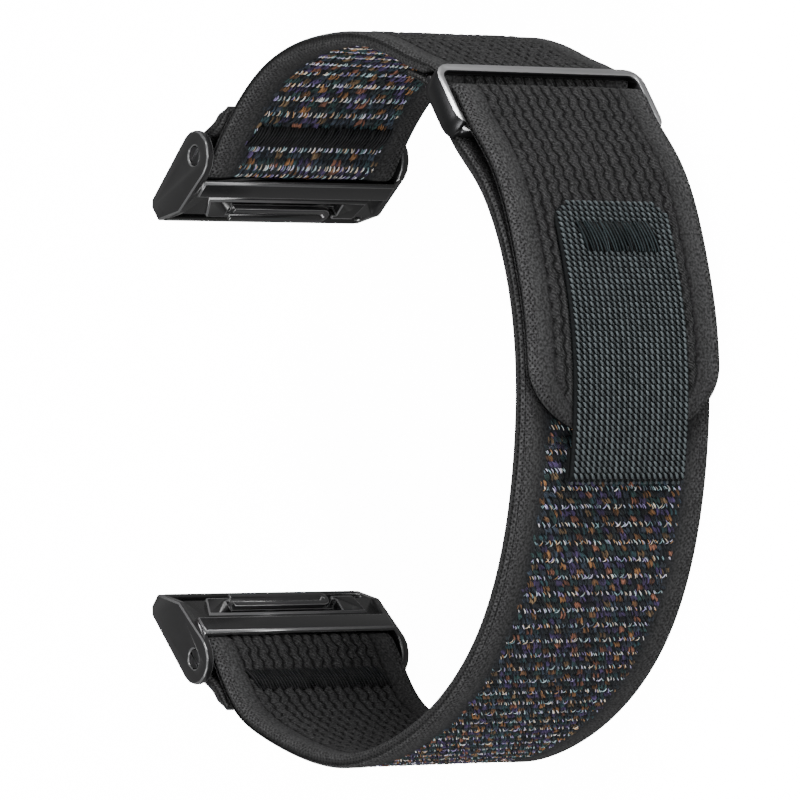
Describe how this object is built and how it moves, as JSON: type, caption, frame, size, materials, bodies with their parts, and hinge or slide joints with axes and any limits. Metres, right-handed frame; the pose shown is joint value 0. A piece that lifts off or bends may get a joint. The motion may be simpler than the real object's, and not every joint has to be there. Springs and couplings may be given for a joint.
{
  "type": "nylon watch strap",
  "caption": "Nylon watch strap with a fold-back closure through a metal ring, a pull tab, and a hooked metal adapter with a sliding latch at each end.",
  "frame": {"origin": "middle of the base of the bounding box, with the strap lying on its edge as it does in the picture", "axes": "+X is 12 o'clock on the closed loop, -Y is the closure side, +Y is the open side between the adapters, +Z runs across the strap's width"},
  "size_m": [0.0842, 0.0778, 0.0286],
  "materials": {
    "webbing": "woven nylon, dark grey ribs on one face and a multicolour knit on the other",
    "tab": "basket-weave nylon, blue grey",
    "thread": "dense satin-stitch bar in dark thread",
    "hook": "nylon hook tape, black",
    "ring": "satin steel, light grey face and dark sides",
    "steel": "plain steel",
    "adapter": "near-black satin coating",
    "latch": "dark grey satin coating"
  },
  "bodies": {
    "band": {"upper_strap": "webbing", "lower_strap": "webbing", "upper_bartack": "thread", "lower_bartack": "thread", "ring_bartack": "thread"},
    "ring_body": {"ring": "ring", "ring_pin": "steel"},
    "tail": {"strap_tail": "webbing", "hook_patch": "hook", "tab_stitched_end": "tab", "tab_bartack": "thread"},
    "tab": {"pull_tab": "tab"},
    "upper_adapter_body": {"upper_adapter": "adapter", "upper_strap_bar": "steel", "upper_bar_screw_left": "steel", "upper_bar_screw_right": "steel", "upper_latch_spring_left": "steel", "upper_latch_spring_right": "steel"},
    "upper_latch_body": {"upper_latch": "latch"},
    "lower_adapter_body": {"lower_adapter": "adapter", "lower_strap_bar": "steel", "lower_bar_screw_left": "steel", "lower_bar_screw_right": "steel", "lower_latch_spring_left": "steel", "lower_latch_spring_right": "steel"},
    "lower_latch_body": {"lower_latch": "latch"}
  },
  "joints": [
    {"name": "ring_swing", "type": "hinge", "parent": "band", "child": "ring_body", "pos_m": [0.03579, -0.01901, 0.0143], "axis": [0, 0, 1], "range_deg": [-2, 2]},
    {"name": "tail_peel", "type": "hinge", "parent": "band", "child": "tail", "pos_m": [0.03074, -0.02711, 0.0143], "axis": [0, 0, 1], "range_deg": [0, 90]},
    {"name": "tab_lift", "type": "hinge", "parent": "tail", "child": "tab", "pos_m": [0.01472, -0.03729, 0.0143], "axis": [0, 0, 1], "range_deg": [0, 70]},
    {"name": "upper_adapter_swivel", "type": "hinge", "parent": "band", "child": "upper_adapter_body", "pos_m": [0.02867, 0.02914, 0.0143], "axis": [0, 0, 1], "range_deg": [-30, 30]},
    {"name": "lower_adapter_swivel", "type": "hinge", "parent": "band", "child": "lower_adapter_body", "pos_m": [-0.03042, 0.02914, 0.0143], "axis": [0, 0, 1], "range_deg": [-30, 30]},
    {"name": "upper_latch_slide", "type": "slide", "parent": "upper_adapter_body", "child": "upper_latch_body", "axis": [0.6691, -0.7431, 0], "range_m": [0, 0.0008], "stiffness_N_per_m": 200, "springref_m": -0.001, "deforming": ["upper_latch_spring_left", "upper_latch_spring_right"]},
    {"name": "lower_latch_slide", "type": "slide", "parent": "lower_adapter_body", "child": "lower_latch_body", "axis": [-0.6691, -0.7431, 0], "range_m": [0, 0.0008], "stiffness_N_per_m": 200, "springref_m": -0.001, "deforming": ["lower_latch_spring_left", "lower_latch_spring_right"]}
  ]
}
